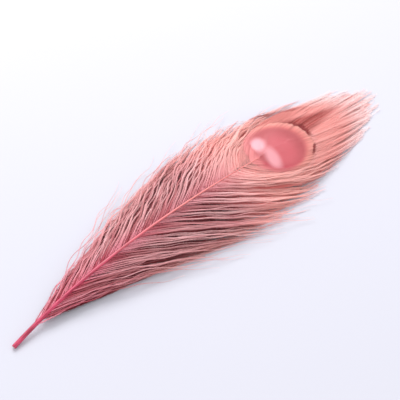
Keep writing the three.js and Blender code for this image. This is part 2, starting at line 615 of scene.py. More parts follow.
@dataclass(frozen=True)
class BarbFinish:
    """Loose barbs: deep pink where they leave the shaft, dusty and pale on the way, salmon at the tips, with
    painted shade on the barbules' sides, towards the quill, along the left parting and on the lower layer.
    """

    root: Colour = srgb(174, 34, 66)
    root_pale: Colour = srgb(242, 140, 162)
    middle: Colour = srgb(238, 176, 179)
    pale: Colour = srgb(254, 214, 215)
    tip: Colour = srgb(242, 166, 158)
    # random dusky tint of some barbs, also painted shade on the barbules' sides
    dusk_and_side_shade: Colour = srgb(180, 88, 94)
    # painted shade: the lower layer's colour in the gaps, lighter beside the eye
    gap_shade: Colour = srgb(112, 2, 22)
    gap_shade_by_eye: Colour = srgb(230, 126, 124)
    beside_eye: Colour = srgb(250, 186, 178)
    fringe: Colour = srgb(252, 214, 216)
    # painted shade along the parting between the crown and the left vane
    deep_parting_shade: Colour = srgb(150, 50, 52)
    shade: Colour = srgb(108, 40, 58)
    sheen: Colour = srgb(255, 214, 208)
    shade_share: float = 0.24
    roughness: float = 0.58
    grain_scale: float = 2500.0
    blotch_scale: float = 70.0

    def colour(self, graph: Graph) -> bpy.types.NodeSocket:
        """The colour of a barb and its barbules.

        Args:
            graph: The material's nodes.

        Returns:
            The socket with the colour.
        """
        here = Reading.of(graph)
        along, lot, q = here.along, here.lot, here.q
        near_eye = q.rise(-3.0, -1.2)
        near_shaft = along.rise(0.26, 0.0) * (0.55 + q.rise(-3.0, -7.0) * 0.4)
        rosy = graph.math("MAXIMUM", near_shaft, q.rise(-4.3, -8.3) * 0.85)
        dark = graph.math("MAXIMUM", lot.rise(0.3, 0.7), q.rise(-6.0, -4.0) * 0.6)
        # painted shade of the lower layer, lighter near the eye
        gap_shade = graph.mix(near_eye, self.gap_shade, self.gap_shade_by_eye)
        return graph.coats(
            self.middle,
            (lot.rise(0.4, 0.0) * 0.9, self.pale),
            (lot.rise(0.5, 1.0) * (0.75 - near_eye * 0.45), self.dusk_and_side_shade),
            (along.rise(0.45, 1.0) * 0.75, self.tip),
            # painted shade on the barbules' outer sides
            (abs(here.across).rise(0.2, 1.0) * 0.25, self.dusk_and_side_shade),
            (rosy, graph.mix(dark, self.root_pale, self.root)),
            (graph.noise(self.blotch_scale, detail=2).rise(0.5, 0.8) * 0.3, self.root),
            (q.rise(-1.2, -4.2) * self.shade_share, self.shade),
            (q.rise(-2.7, -0.7) * 0.85, self.beside_eye),
            (along.rise(0.8, 1.0) * 0.7, self.fringe),
            # painted shade along the left parting
            (here.left_parting_shade() * 0.8, self.deep_parting_shade),
            # painted shade on the lower layer, fading towards its tips
            (here.depth * (0.9 - along.rise(0.45, 0.9) * 0.6), gap_shade),
        )

    def material(self) -> bpy.types.Material:
        """Builds the material.

        Returns:
            The material.
        """
        graph = Graph("dyed_barbs")
        return graph.finish(
            {
                "Base Color": self.colour(graph),
                "Roughness": graph.noise(self.grain_scale, detail=1) * 0.2 + self.roughness,
                "Specular IOR Level": 0.35,
                "Sheen Weight": 0.3,
                "Sheen Roughness": 0.4,
                "Sheen Tint": self.sheen,
            }
        )


@dataclass(frozen=True)
class Spot:
    """A soft ellipse on the eye, in the eye's radii: middle, half sizes and turn in degrees."""

    middle: tuple[float, float]
    size: tuple[float, float]
    turn: float = 0.0

    def radius(self, here: Reading) -> Value:
        """Distance from the middle as a share of the ellipse's edge.

        Args:
            here: The place on the eye.

        Returns:
            0 in the middle and 1 at the edge.
        """
        x, y = here.p - self.middle[0], here.q - self.middle[1]
        cos, sin = math.cos(math.radians(self.turn)), math.sin(math.radians(self.turn))
        along = (x * cos + y * sin) / self.size[0]
        across = (y * cos - x * sin) / self.size[1]
        return here.graph.math("SQRT", along * along + across * across)


@dataclass(frozen=True)
class EyeFinish:
    """The eye: a rose pupil with painted satin highlights on its two lobes, a coral and tan ring, and the
    salmon crown round it, with painted shade in its partings, hollow and lower layer.

    Its methods take the reading at each point and disc, the distance from the eye's centre in its radii.
    """

    pupil: Colour = srgb(216, 106, 116)
    dusky: Colour = srgb(194, 90, 97)
    # painted satin highlights on the pupil's two lobes
    lobe_highlight: Colour = srgb(243, 174, 183)
    pearl_highlight: Colour = srgb(244, 178, 189)
    rim: Colour = srgb(204, 62, 88)
    ring: Colour = srgb(226, 128, 126)
    ring_pale: Colour = srgb(236, 160, 150)
    ring_base: Colour = srgb(228, 140, 142)
    # radiating lines of random barbs, also painted shade at the ribbons' edges
    line_and_edge_shade: Colour = srgb(172, 76, 76)
    # painted shade in the partings between the ring and the crown
    parting_shade: Colour = srgb(136, 14, 20)
    crown: Colour = srgb(244, 172, 166)
    crown_pale: Colour = srgb(255, 230, 230)
    # lines of random barbs, also painted shade at the barbules' edges
    crown_line_and_edge_shade: Colour = srgb(232, 140, 136)
    # painted shade in the hollow beyond the ring, also used along the left parting
    hollow_shade: Colour = srgb(172, 62, 58)
    # painted shade over the crown's left side near the disc
    crown_shade: Colour = srgb(212, 122, 116)
    strand: Colour = srgb(228, 154, 150)
    # painted shade: the lower layer's colour in the gaps, lighter in the crown
    gap_shade: Colour = srgb(172, 46, 56)
    crown_gap_shade: Colour = srgb(240, 150, 142)
    sheen: Colour = srgb(255, 210, 205)
    pupil_spot: Spot = Spot((0.02, -0.1), (0.84, 0.81))
    core_spot: Spot = Spot((0.2, -0.05), (0.6, 0.4), -20.0)
    pupil_base: float = -0.77
    # where the painted satin highlights lie
    pearl_highlight_spot: Spot = Spot((-0.39, -0.47), (0.23, 0.29), 47.5)
    lobe_highlight_spot: Spot = Spot((0.27, -0.46), (0.46, 0.2), -18.0)
    rim_spot: Spot = Spot((-0.03, -0.02), (0.84, 0.81))
    hollow_from: tuple[float, float] = (-0.26, 0.8)
    hollow_tip: tuple[float, float] = (-0.22, 2.9)
    hollow_width: float = 0.5
    raggedness: float = 0.06

    def pupil_share(self, here: Reading) -> Value:
        """Distance from the pupil's middle as a share of its edge, which is flat at the shaft's end."""
        base = (self.pupil_base - here.q - here.p * 0.2) * 1.2 + 1
        return here.graph.math("MAXIMUM", self.pupil_spot.radius(here), base)

    def pupil_colour(self, here: Reading, pupil: Value) -> bpy.types.NodeSocket:
        """The pupil: saturated in its middle, dusky over its far left, with painted satin highlights at the
        lobes.

        Args:
            here: The place on the eye.
            pupil: Distance from the pupil's middle as a share of its edge.

        Returns:
            The socket with the colour.
        """
        inside = pupil.rise(1.02, 0.92)
        crescent = self.rim_spot.radius(here).rise(0.86, 1.05) * (here.p - here.q).rise(0.2, 0.7)
        return here.graph.coats(
            self.pupil,
            (self.core_spot.radius(here).rise(0.5, 1.5), self.dusky),
            (crescent * 0.65, self.rim),
            (self.lobe_highlight_spot.radius(here).rise(1.4, 0.35) * inside, self.lobe_highlight),
            (self.pearl_highlight_spot.radius(here).rise(1.4, 0.4) * inside, self.pearl_highlight),
        )

    def ring_colour(self, here: Reading, disc: Value) -> bpy.types.NodeSocket:
        """The ring: pinker at its base, tan and finely lined at its far side.

        Args:
            here: The place on the eye.
            disc: Distance from its centre.

        Returns:
            The socket with the colour.
        """
        return here.graph.coats(
            self.ring,
            (disc.rise(0.7, 0.95), self.ring_pale),
            (here.q.rise(0.1, -0.5), self.ring_base),
            (here.lot.rise(0.4, 0.85) * 0.5, self.line_and_edge_shade),
        )

    def hollow_share(self, here: Reading) -> Value:
        """1 in the shaded hollow that runs from the ring's far side into the crown.

        Args:
            here: The place on the eye.

        Returns:
            The share, which falls softly to 0 outside.
        """
        (start_p, start_q), (tip_p, tip_q) = self.hollow_from, self.hollow_tip
        t = (here.q - start_q) / (tip_q - start_q)
        inside = (1 - t) * self.hollow_width - abs(here.p - start_p - t * (tip_p - start_p))
        return inside.rise(-0.05, 0.22) * here.q.rise(0.4, 0.7)

    def parting_shade_share(self, here: Reading, disc: Value) -> Value:
        """1 along the painted shade of the partings between the ring and the crown, which are torn and
        broken.

        Args:
            here: The place on the eye.
            disc: Distance from its centre.

        Returns:
            The share, 0 elsewhere.
        """
        torn = disc + (here.graph.noise(160.0, detail=2) - 0.5) * 0.14
        broken = here.graph.noise(90.0, detail=1).rise(0.2, 0.45)
        slant = here.p / here.q
        far = slant.rise(-0.95, -0.1) * slant.rise(0.32, 0.1) * torn.rise(1.16, 1.04)
        near = slant.rise(0.5, 0.7) * slant.rise(1.5, 1.0) * torn.rise(1.07, 1.0)
        return torn.rise(0.95, 0.99) * here.q.rise(0.25, 0.45) * broken * (far + near)

    def crown_colour(self, here: Reading, disc: Value) -> bpy.types.NodeSocket:
        """The loose barbs outside the disc: beige strands at its base, salmon and lined in the crown, with
        painted shade on its left near the disc, in the hollow, along the left parting and at the barbules'
        edges.

        Args:
            here: The place on the eye.
            disc: Distance from its centre.

        Returns:
            The socket with the colour.
        """
        # where the crown's left side gets painted shade
        shaded = (-here.p - disc * 0.3).rise(0.0, 0.5) * disc.rise(2.4, 1.2)
        return here.graph.coats(
            self.crown,
            (disc.rise(1.9, 3.5), self.crown_pale),
            (shaded * 0.85, self.crown_shade),
            (here.along.rise(0.7, 0.94) * 0.9, self.crown_pale),
            # painted shade in the hollow
            (self.hollow_share(here) * (1 - here.lot.rise(0.3, 0.0) * 0.4), self.hollow_shade),
            # painted shade along the left parting
            (here.left_parting_shade() * 0.8, self.hollow_shade),
            (here.q.rise(0.1, -0.9), self.strand),
            (here.lot.rise(0.45, 1.0) * 0.5, self.crown_line_and_edge_shade),
            # painted shade at the barbules' edges
            (abs(here.across).rise(0.2, 1.0) * 0.15, self.crown_line_and_edge_shade),
        )

    def material(self) -> bpy.types.Material:
        """Builds the material.

        Returns:
            The material.
        """
        graph = Graph("eye_barbs")
        here = Reading.of(graph)
        ragged = (here.lot - 0.5) * self.raggedness
        disc = graph.math("SQRT", here.p * here.p + here.q * here.q) + ragged
        pupil = self.pupil_share(here) + ragged
        # painted shade of the lower layer, lighter in the crown
        gap_shade = graph.mix(disc.rise(1.1, 2.2) * here.q.rise(0.0, 1.0), self.gap_shade, self.crown_gap_shade)
        colour = graph.coats(
            self.ring_colour(here, disc),
            (pupil.rise(1.1, 0.86), self.pupil_colour(here, pupil)),
            # painted shade at the ribbons' edges, between the barbs
            (abs(here.across).rise(0.55, 1.0) * 0.3, self.line_and_edge_shade),
            (disc.rise(0.98, 1.03), self.crown_colour(here, disc)),
            # painted shade along the torn partings
            (self.parting_shade_share(here, disc), self.parting_shade),
            (here.depth * 0.8, gap_shade),
        )
        return graph.finish(
            {
                "Base Color": colour,
                "Roughness": 0.64 - pupil.rise(1.05, 0.9) * 0.26,
                "Specular IOR Level": 0.5,
                "Sheen Weight": 0.25,
                "Sheen Roughness": 0.35,
                "Sheen Tint": self.sheen,
            }
        )


@dataclass(frozen=True)
class FloorFinish:
    """A plain white studio surface."""

    white: Colour = (0.57, 0.57, 0.64)
    mottled: Colour = (0.55, 0.55, 0.62)
    mottle_scale: float = 4.0

    def material(self) -> bpy.types.Material:
        """Builds the material.

        Returns:
            The material.
        """
        graph = Graph("white_surface")
        tint = graph.mix(graph.noise(self.mottle_scale) * 0.05, self.white, self.mottled)
        return graph.finish({"Base Color": tint, "Roughness": 0.9, "Specular IOR Level": 0.1})


# ---- Barbs as arrays ----


@dataclass
class MeshArrays:
    """Triangles gathered from arrays, with a bake map and two attributes, and made one mesh at the end."""

    points: list[Array] = field(default_factory=list)
    triangles: list[Array] = field(default_factory=list)
    maps: list[Array] = field(default_factory=list)
    barbs: list[Array] = field(default_factory=list)
    eyes: list[Array] = field(default_factory=list)
    count: int = 0

    def add(self, points: Array, triangles: Array, bake: Array, barb: Array, eye: Array) -> None:
        """Adds a batch.

        Args:
            points: Vertices, (n, 3), in metres.
            triangles: Vertex numbers within the batch, (m, 3).
            bake: Place of each vertex on the bake map, (n, 2).
            barb: Barb attribute of each vertex, (n, 3).
            eye: Eye attribute of each vertex, (n, 3).
        """
        self.points.append(points)
        self.triangles.append(triangles + self.count)
        self.maps.append(bake)
        self.barbs.append(barb)
        self.eyes.append(eye)
        self.count += len(points)

    def build(self, name: str, material: bpy.types.Material) -> bpy.types.Object:
        """Makes the mesh object.

        Args:
            name: The piece's name.
            material: Its only material.

        Returns:
            The object, linked to the scene.
        """
        points = np.concatenate(self.points)
        triangles = np.concatenate(self.triangles)
        bake = np.concatenate(self.maps)
        mesh = bpy.data.meshes.new(name)
        mesh.vertices.add(len(points))
        mesh.vertices.foreach_set("co", points.astype(np.float32).ravel())
        mesh.loops.add(3 * len(triangles))
        mesh.loops.foreach_set("vertex_index", triangles.astype(np.int32).ravel())
        mesh.polygons.add(len(triangles))
        mesh.polygons.foreach_set("loop_start", np.arange(0, 3 * len(triangles), 3, dtype=np.int32))
        mesh.polygons.foreach_set("use_smooth", np.ones(len(triangles), dtype=bool))
        mesh.update(calc_edges=True)
        layer = mesh.uv_layers.new(name=BAKE_MAP)
        layer.data.foreach_set("uv", bake[triangles.ravel()].astype(np.float32).ravel())
        for title, gathered in ((BARB_ATTRIBUTE, self.barbs), (EYE_ATTRIBUTE, self.eyes)):
            attribute = mesh.attributes.new(title, "FLOAT_VECTOR", "POINT")
            attribute.data.foreach_set("vector", np.concatenate(gathered).astype(np.float32).ravel())
        mesh.materials.append(material)
        piece = bpy.data.objects.new(name, mesh)
        bpy.context.scene.collection.objects.link(piece)
        return piece


@dataclass(frozen=True)
class Fringe:
    """The barbules on one side of a barb, sizes in millimetres and angles in degrees."""

    count: int = 300
    length: float = 1.15
    width: float = 0.3
    lean: float = 46.0
    hang: float = 0.12
    unruly: float = 9.0
    thinning: float = 0.5
    thinning_from: float = 0.6
    lengths: tuple[float, float] = (0.72, 1.15)
    lift: float = 0.22
    starts: float = 0.015
    shortest: float = 0.08


@dataclass
class BarbRun:
    """Barbs laid out together: their branches as a grid of points, (barbs, steps), each with a frame.

    Each barb also has a number that tints it, the share of its full fringe that it keeps, both (barbs, 1),
    and a column of its own on the bake map. Each point has its place on the eye and its depth in the vane.
    """

    points: Array
    roll: Array
    lots: Array
    eye: Array
    fullness: Array
    depth: float
    first_column: int
    columns: int

    def __post_init__(self) -> None:
        """Works out each point's frame: forward along the branch, sideways and up, turned by its roll."""
        self.forward = unit(np.gradient(self.points, axis=1))
        flat = unit(np.cross(self.forward, [0.0, 0.0, 1.0]))
        above = np.cross(flat, self.forward)
        cos, sin = np.cos(self.roll)[..., None], np.sin(self.roll)[..., None]
        self.sideways = flat * cos + above * sin
        self.up = above * cos - flat * sin
        self.shares = np.linspace(0, 1, self.points.shape[1])
        self.lengths = np.linalg.norm(np.diff(self.points, axis=1), axis=-1).sum(axis=1)

    @property
    def size(self) -> tuple[int, int]:
        """Number of barbs and of points on each."""
        return self.points.shape[0], self.points.shape[1]

    def sample(self, values: Array, share: Array) -> Array:
        """Reads a grid of values between its points.

        Args:
            values: The grid, (barbs, steps) or (barbs, steps, n).
            share: Where to read it, as shares of each barb's length, (barbs, samples).

        Returns:
            The values, (barbs, samples, n).
        """
        place = np.clip(share, 0, 1) * (self.size[1] - 1)
        i = np.minimum(place.astype(int), self.size[1] - 2)
        t = (place - i)[..., None]
        rows = np.arange(self.size[0])[:, None]
        grid = values if values.ndim == 3 else values[..., None]
        return grid[rows, i] * (1 - t) + grid[rows, i + 1] * t

    def store(
        self, arrays: MeshArrays, points: Array, faces: Array, along: Array, across: Array, eye: Array
    ) -> None:
        """Hands a batch to the arrays.

        Args:
            arrays: Where the triangles go.
            points: Vertices, (barbs, samples, corners, 3).
            faces: Vertex numbers, (..., 3).
            along: Share of the barb's length at each vertex, (barbs, samples, corners).
            across: -1 to 1 over the barb's width, the same shape.
            eye: Eye attribute of each sample, (barbs, samples, 3).
        """
        column = self.first_column + np.arange(self.size[0])[:, None, None]
        lots = self.lots[..., None] + np.zeros_like(across)
        over = (column + 0.5 + COLUMN_REACH * across) / self.columns
        bake = np.stack([over, MAP_MARGIN + (1 - 2 * MAP_MARGIN) * along], axis=-1)
        eyes = np.repeat(eye[:, :, None], across.shape[2], axis=2)
        barb = np.stack([along, across, lots], axis=-1)
        batch = (points.reshape(-1, 3), faces.reshape(-1, 3), bake.reshape(-1, 2))
        arrays.add(*batch, barb.reshape(-1, 3), eyes.reshape(-1, 3))

    def add_branches(self, arrays: MeshArrays, radius: Array) -> None:
        """Adds the branches as thin tapered tubes.

        Args:
            arrays: Where the triangles go.
            radius: Radius at each point, (barbs, steps), in metres.
        """
        shape = (*self.size, BRANCH_CORNERS)
        angle = 2 * np.pi * (np.arange(BRANCH_CORNERS) + 0.25) / BRANCH_CORNERS
        cos, sin = np.cos(angle)[:, None], np.sin(angle)[:, None]
        ring = self.sideways[:, :, None] * cos + self.up[:, :, None] * sin
        points = self.points[:, :, None] + ring * radius[:, :, None, None]
        number = np.arange(math.prod(shape)).reshape(shape)
        a, b = number[:, :-1], number[:, 1:]
        a_next, b_next = np.roll(a, -1, axis=2), np.roll(b, -1, axis=2)
        faces = np.stack([np.stack([a, a_next, b], -1), np.stack([a_next, b_next, b], -1)])
        across = BRANCH_EDGE * np.cos(angle) + np.zeros(shape)
        along = self.shares[None, :, None] + np.zeros_like(across)
        self.store(arrays, points, faces, along, across, self.eye)

    def add_barbules(
        self, arrays: MeshArrays, rng: np.random.Generator, fringe: Fringe, share: Array
    ) -> None:
        """Adds a fringe of pointed barbules down both sides of each branch.

        Args:
            arrays: Where the triangles go.
            rng: Source of the small differences.
            fringe: Sizes of the barbules.
            share: Their length at each point as a share of the full length, (barbs, steps); none where 0.
        """
        barbs, count = self.size[0], fringe.count
        share = share * self.fullness
        half_width = fringe.width * MM / 2
        for side in (-1.0, 1.0):
            slots = np.arange(count) + rng.uniform(0.1, 0.9, (barbs, count))
            place = fringe.starts + (1 - fringe.starts) * slots / count
            forward, sideways = self.sample(self.forward, place), self.sample(self.sideways, place)
            full = self.sample(share, place)
            reach = full * fringe.length * MM * rng.uniform(*fringe.lengths, (barbs, count, 1))
            lean = np.radians(fringe.lean + rng.normal(0, fringe.unruly, (barbs, count, 1)))
            lift = rng.normal(-fringe.hang, fringe.lift, (barbs, count, 1))
            flat = forward * np.cos(lean) + sideways * (side * np.sin(lean))
            out = flat + self.sample(self.up, place) * lift
            half = forward * half_width
            base = self.sample(self.points, place)
            points = np.stack([base - half, base + half, base + out * reach], axis=2)
            points[..., 2] = np.maximum(points[..., 2], FLOOR_GAP)
            kept = 1 - fringe.thinning * smooth(fringe.thinning_from, 1.0, place)
            sparse = rng.uniform(0, 1, (barbs, count)) > kept
            wanted = (full[..., 0] > fringe.shortest) & ~sparse
            faces = np.arange(barbs * count * 3).reshape(barbs, count, 3)[wanted]
            faces = faces if side < 0 else faces[..., ::-1]
            edge = np.full_like(reach, half_width)
            ahead = np.concatenate([-edge, edge, reach * np.cos(lean)], axis=-1)
            along = np.clip(place[..., None] + ahead / self.lengths[:, None, None], 0, 1)
            across = np.array([BRANCH_EDGE, BRANCH_EDGE, 1.0]) * side + np.zeros_like(along)
            self.store(arrays, points, faces, along, across, self.sample(self.eye, place))

    def add_ribbons(self, arrays: MeshArrays, half_width: Array, ridge: float) -> None:
        """Adds a flat roof-shaped ribbon along each branch, where its barbules hook into the next barb's.

        Args:
            arrays: Where the triangles go.
            half_width: Half the ribbon's width at each point, (barbs, steps), in metres; none where 0.
            ridge: Height of the ridge as a share of the half width.
        """
        shape = (*self.size, 3)
        across = np.array([-1.0, 0.0, 1.0]) + np.zeros(shape)
        offset = self.sideways[:, :, None] * across[..., None] * half_width[..., None, None]
        fall = self.up[:, :, None] * (np.abs(across) * ridge * half_width[..., None])[..., None]
        points = self.points[:, :, None] + offset - fall
        number = np.arange(math.prod(shape)).reshape(shape)
        a, b = number[:, :-1, :2], number[:, 1:, :2]
        faces = np.stack([np.stack([a, a + 1, b + 1], -1), np.stack([a, b + 1, b], -1)])
        wide = (half_width[:, :-1] + half_width[:, 1:])[None, :, :, None] > 0.1 * MM
        faces = faces[np.broadcast_to(wide, faces.shape[:-1])]
        along = self.shares[None, :, None] + np.zeros_like(across)
        self.store(arrays, points, faces, along, across, self.eye)


@dataclass(frozen=True)
class Groups:
    """Barbs that hang together: how many groups, each barb's group and the station at its middle."""

    number: int
    member: Array
    middle: Array


@dataclass(frozen=True)
class Draws:
    """Seeded random numbers for one layer of barbs, (barbs, 1): one for each, or one for each group."""

    rng: np.random.Generator
    count: int

    def uniform(self, low: Any, high: Any, groups: Groups | None = None) -> Array:
        """Draws evenly between two numbers.

        Args:
            low: The lower number, or one for each barb.
            high: The upper number.
            groups: The groups that share a draw, if any do.

        Returns:
            A number for each barb.
        """
        if groups is None:
            return self.rng.uniform(low, high, (self.count, 1))
        return self.rng.uniform(low, high, groups.number)[groups.member]

    def normal(self, spread: float, groups: Groups | None = None, middle: float = 0.0) -> Array:
        """Draws round a middle.

        Args:
            spread: The standard deviation.
            groups: The groups that share a draw, if any do.
            middle: The mean.

        Returns:
            A number for each barb.
        """
        if groups is None:
            return self.rng.normal(middle, spread, (self.count, 1))
        return self.rng.normal(middle, spread, groups.number)[groups.member]

    def gather(self, own: Array, number: int) -> Groups:
        """Gathers barbs into neighbouring groups of uneven sizes.

        Args:
            own: Each barb's station, (barbs, 1).
            number: How many groups.

        Returns:
            The groups.
        """
        low, high = own.min(), own.max()
        steps = self.rng.uniform(0.4, 1.6, number)
        edges = low + (high - low) * np.r_[0.0, np.cumsum(steps) / steps.sum()]
        member = np.clip(np.searchsorted(edges, own, side="right") - 1, 0, number - 1)
        return Groups(number, member, (edges[member] + edges[member + 1]) / 2)


# ---- Pieces ----


def settle(piece: bpy.types.Object, slot: str, *nodes: str) -> None:
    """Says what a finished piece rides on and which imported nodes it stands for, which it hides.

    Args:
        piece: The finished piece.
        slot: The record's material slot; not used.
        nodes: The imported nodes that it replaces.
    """
    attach(piece, ROOT_BODY)
    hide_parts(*nodes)
    LOG.info("%s: %d faces", piece.name, len(piece.data.polygons))


@dataclass
class Vane:
    """Barbs on one side of the feather: an upper layer, and a deeper one that shows between, coloured with
    painted shade.

    Depth is 0 for the upper layer and 1 for the lower. Places and lengths are in millimetres, drifts along
    the shaft in stations, and rolls in radians. Each kind of vane lays out its layers and dresses them.
    """

    form: FeatherForm
    side: Side
    seed: int
    slot: str = "loose_barbs"
    upper: int = 100
    lower: int = 100
    upper_fringe: Fringe = Fringe()
    lower_fringe: Fringe = Fringe()
    gathering: tuple[float, float] = (0.2, 1.0)
    clearance: tuple[float, float] = (0.2, 1.0)
    lower_hug: float = 0.6
    tints: tuple[float, float] = (0.65, 0.35)

    def build_layers(self, title: str, node: str, material: bpy.types.Material) -> bpy.types.Object:
        """Builds both layers as one mesh.

        Args:
            title: The piece's name before its side.
            node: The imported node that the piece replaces.
            material: Its material.

        Returns:
            The finished piece.
        """
        rng = np.random.default_rng(self.seed)
        arrays = MeshArrays()
        layers = ((0.0, self.upper, self.upper_fringe), (1.0, self.lower, self.lower_fringe))
        for depth, count, fringe in layers:
            draws = Draws(rng, count)
            self.dress(arrays, draws, self.layer(draws, depth), fringe)
        piece = arrays.build(f"{title}_{self.side.name.lower()}", material)
        settle(piece, self.slot, node)
        return piece

    def clear(self, draws: Draws, z: Array, depth: float) -> Array:
        """Keeps each barb off the surface, the lower ones less."""
        return np.maximum(z, draws.uniform(*self.clearance) * (1 - self.lower_hug * depth))

    def lots(self, draws: Draws, bundles: Groups) -> Array:
        """Draws each barb's tint, 0 to 1, which it shares in part with its bundle."""
        return self.tints[0] * draws.uniform(0, 1, bundles) + self.tints[1] * draws.uniform(0, 1)

    def run(
        self, place: tuple[Array, ...], sway: Array, roll: Array, lots: Array, full: Array, depth: float
    ) -> BarbRun:
        """Lays one layer's branches down on the surface.

        Args:
            place: Place across and along the shaft and height at each point, (barbs, steps) each.
            sway: How far the branch strays sideways.
            roll: Turn about the branch.
            lots: Each barb's tint, (barbs, 1).
            full: Share of its full fringe that each barb keeps, (barbs, 1).
            depth: The layer's depth.

        Returns:
            The barbs.
        """
        x, y, z = place
        p, q = self.form.eye_place(x, y)
        eye = np.stack([p, q, depth + np.zeros_like(p)], axis=-1)
        first = 0 if depth == 0 else self.upper
        points = self.form.lying(x + sway, y, z)
        return BarbRun(points, roll, lots, eye, full, depth, first, self.upper + self.lower)


@dataclass
class LooseBarbs(Vane):
    """The loose barbs: locks of paired barbs on top, strays among them, and the deeper layer."""

    upper: int = 152
    lower: int = 126
    upper_fringe: Fringe = Fringe(length=1.0)
    lower_fringe: Fringe = Fringe(count=220, length=1.9, width=0.75, lean=40.0)
    steps: int = 36
    bundles: int = 58
    locks: int = 22
    pairing: float = 0.85
    gather: float = 0.4
    crowding: float = 0.76
    jitter: float = 0.3
    eye_gap: float = 0.02
    outermost: tuple[float, float] = (-0.16, 0.14)
    gathering: tuple[float, float] = (0.25, 1.0)
    clearance: tuple[float, float] = (0.2, 1.1)
    tints: tuple[float, float] = (0.7, 0.3)
    low_stations: tuple[float, float] = (2.0, 0.4)
    eye_stations: tuple[float, float] = (2.2, 3.0)
    lock_drift: float = 0.07
    barb_drift: float = 0.03
    lock_reach: tuple[float, float] = (0.93, 1.03)
    stray_reach: tuple[float, float] = (0.98, 1.08)
    shortest: float = 0.8
    longest: float = 1.05
    lower_short: float = 0.13
    longer_by_eye: tuple[float, float] = (0.06, 0.08)
    branch_root: float = 0.2
    branch_tip: float = 0.05
    stray_share: float = 0.12
    stray_freedom: float = 3.2
    stray_spread: float = 6.5
    stray_crossing: float = 0.25
    stray_fullness: float = 0.6
    stray_lift: float = 0.8
    more_low_strays: float = 1.6
    wider_low_strays: float = 1.3
    inward_spread: float = -1.6
    waviness: float = 1.0
    lock_sway: float = 1.1
    bundle_sway: float = 0.75
    barb_sway: float = 0.4
    lock_lift: tuple[float, float] = (0.7, 0.8)
    bundle_lift: float = 0.6
    barb_lift: float = 0.3
    lower_drop: float = 1.3
    barb_roll: float = 0.35
    roll_wave: float = 0.6

    def layer(self, draws: Draws, depth: float) -> BarbRun:
        """Lays out one layer of branches.

        Args:
            draws: Source of the differences between barbs.
            depth: The layer's depth.

        Returns:
            The barbs.
        """
        last = self.form.eye_station - self.eye_gap
        top = 1 - depth
        f = np.linspace(0, 1, self.steps)[None, :]
        own = last * np.linspace(0, 1, draws.count)[:, None] ** self.crowding
        own = np.clip(own + draws.normal(self.jitter * last / draws.count), 0.0, last)
        locks = draws.gather(own, self.locks)
        bundles = draws.gather(own, self.bundles)
        low, beside_eye = smooth(*self.low_stations, own), smooth(*self.eye_stations, own)
        chance = self.stray_share * (1 + self.more_low_strays * low) * (1 - beside_eye)
        stray = (draws.uniform(0, 1) < chance) & (depth == 0)
        loose = np.where(stray, self.stray_freedom, 1.0)
        pull = self.gather * draws.uniform(*self.gathering) * f**1.3 * top / loose
        drift = draws.normal(self.lock_drift, locks) * f**2
        wander = draws.normal(self.barb_drift) * f**2 * loose
        paired = self.pairing * smooth(0.0, 0.25, f) * (1 - 0.6 * smooth(0.75, 1.0, f)) * top / loose
        u = own + (bundles.middle - own) * paired + (locks.middle - bundles.middle) * pull + drift + wander
        u = np.clip(u, self.outermost[int(depth)], self.form.eye_station + 0.1)
        longer, lower_longer = self.longer_by_eye
        reach = draws.uniform(*self.lock_reach, locks)
        reach = reach * draws.uniform(self.shortest + longer * beside_eye, self.longest)
        reach = np.where(stray, draws.uniform(*self.stray_reach), reach)
        reach = reach - (self.lower_short - lower_longer * beside_eye) * depth
        x, y = self.form.barb_point(u, self.side.value, f, reach)
        phase = draws.uniform(0, 2 * np.pi)
        sway = self.waves(draws, f, phase, locks, bundles, loose, top)
        inward = draws.uniform(0, 1) < self.stray_crossing
        spread = np.where(inward, self.inward_spread, 1.0) * self.stray_spread * draws.uniform(0.2, 1.0)
        spread = spread * (1 + self.wider_low_strays * low)
        sway = sway + self.side.value * spread * stray * f**2
        bulge = f * (1.25 - f) * 2.5
        lift = draws.normal(self.lock_lift[1], locks, self.lock_lift[0])
        lift = lift + draws.normal(self.bundle_lift, bundles)
        lift = lift + draws.normal(self.barb_lift) + self.stray_lift * (loose - 1)
        z = self.form.barb_height(u, f) + (lift * top - self.lower_drop * depth) * bulge
        z = self.clear(draws, z, depth)
        roll = draws.normal(self.barb_roll) + self.roll_wave * np.sin(2 * np.pi * f * 1.3 + phase) * f
        lots = self.lots(draws, bundles)
        full = np.where(stray, self.stray_fullness, 1.0)
        return self.run((x, y, z), sway, roll, lots, full, depth)

    def waves(
        self, draws: Draws, f: Array, phase: Array, locks: Groups, bundles: Groups, loose: Array, top: float
    ) -> Array:
        """Works out the waves of the locks, the bundles and the single barbs.

        Args:
            draws: Source of the differences between barbs.
            f: Share of the barb's length.
            phase: Where each barb's own wave starts, in radians.
            locks: The barbs' locks.
            bundles: The barbs' bundles.
            loose: How freely each barb moves.
            top: 1 in the upper layer and 0 in the lower.

        Returns:
            Millimetres sideways at each point.
        """
        swing = draws.uniform(0, 2 * np.pi, locks)
        twist = draws.uniform(0, 2 * np.pi, bundles)
        turns = draws.uniform(2.2, 5.5, bundles)
        held = smooth(0.0, 0.4, f)
        sway = self.lock_sway * np.sin(2 * np.pi * f * 1.1 + swing) * f * top
        sway = sway + self.bundle_sway * np.sin(2 * np.pi * f * turns + twist) * held * top
        own = np.sin(2 * np.pi * f * draws.uniform(0.8, 3.5) + phase)
        return (sway + self.barb_sway * loose * own * held) * self.waviness

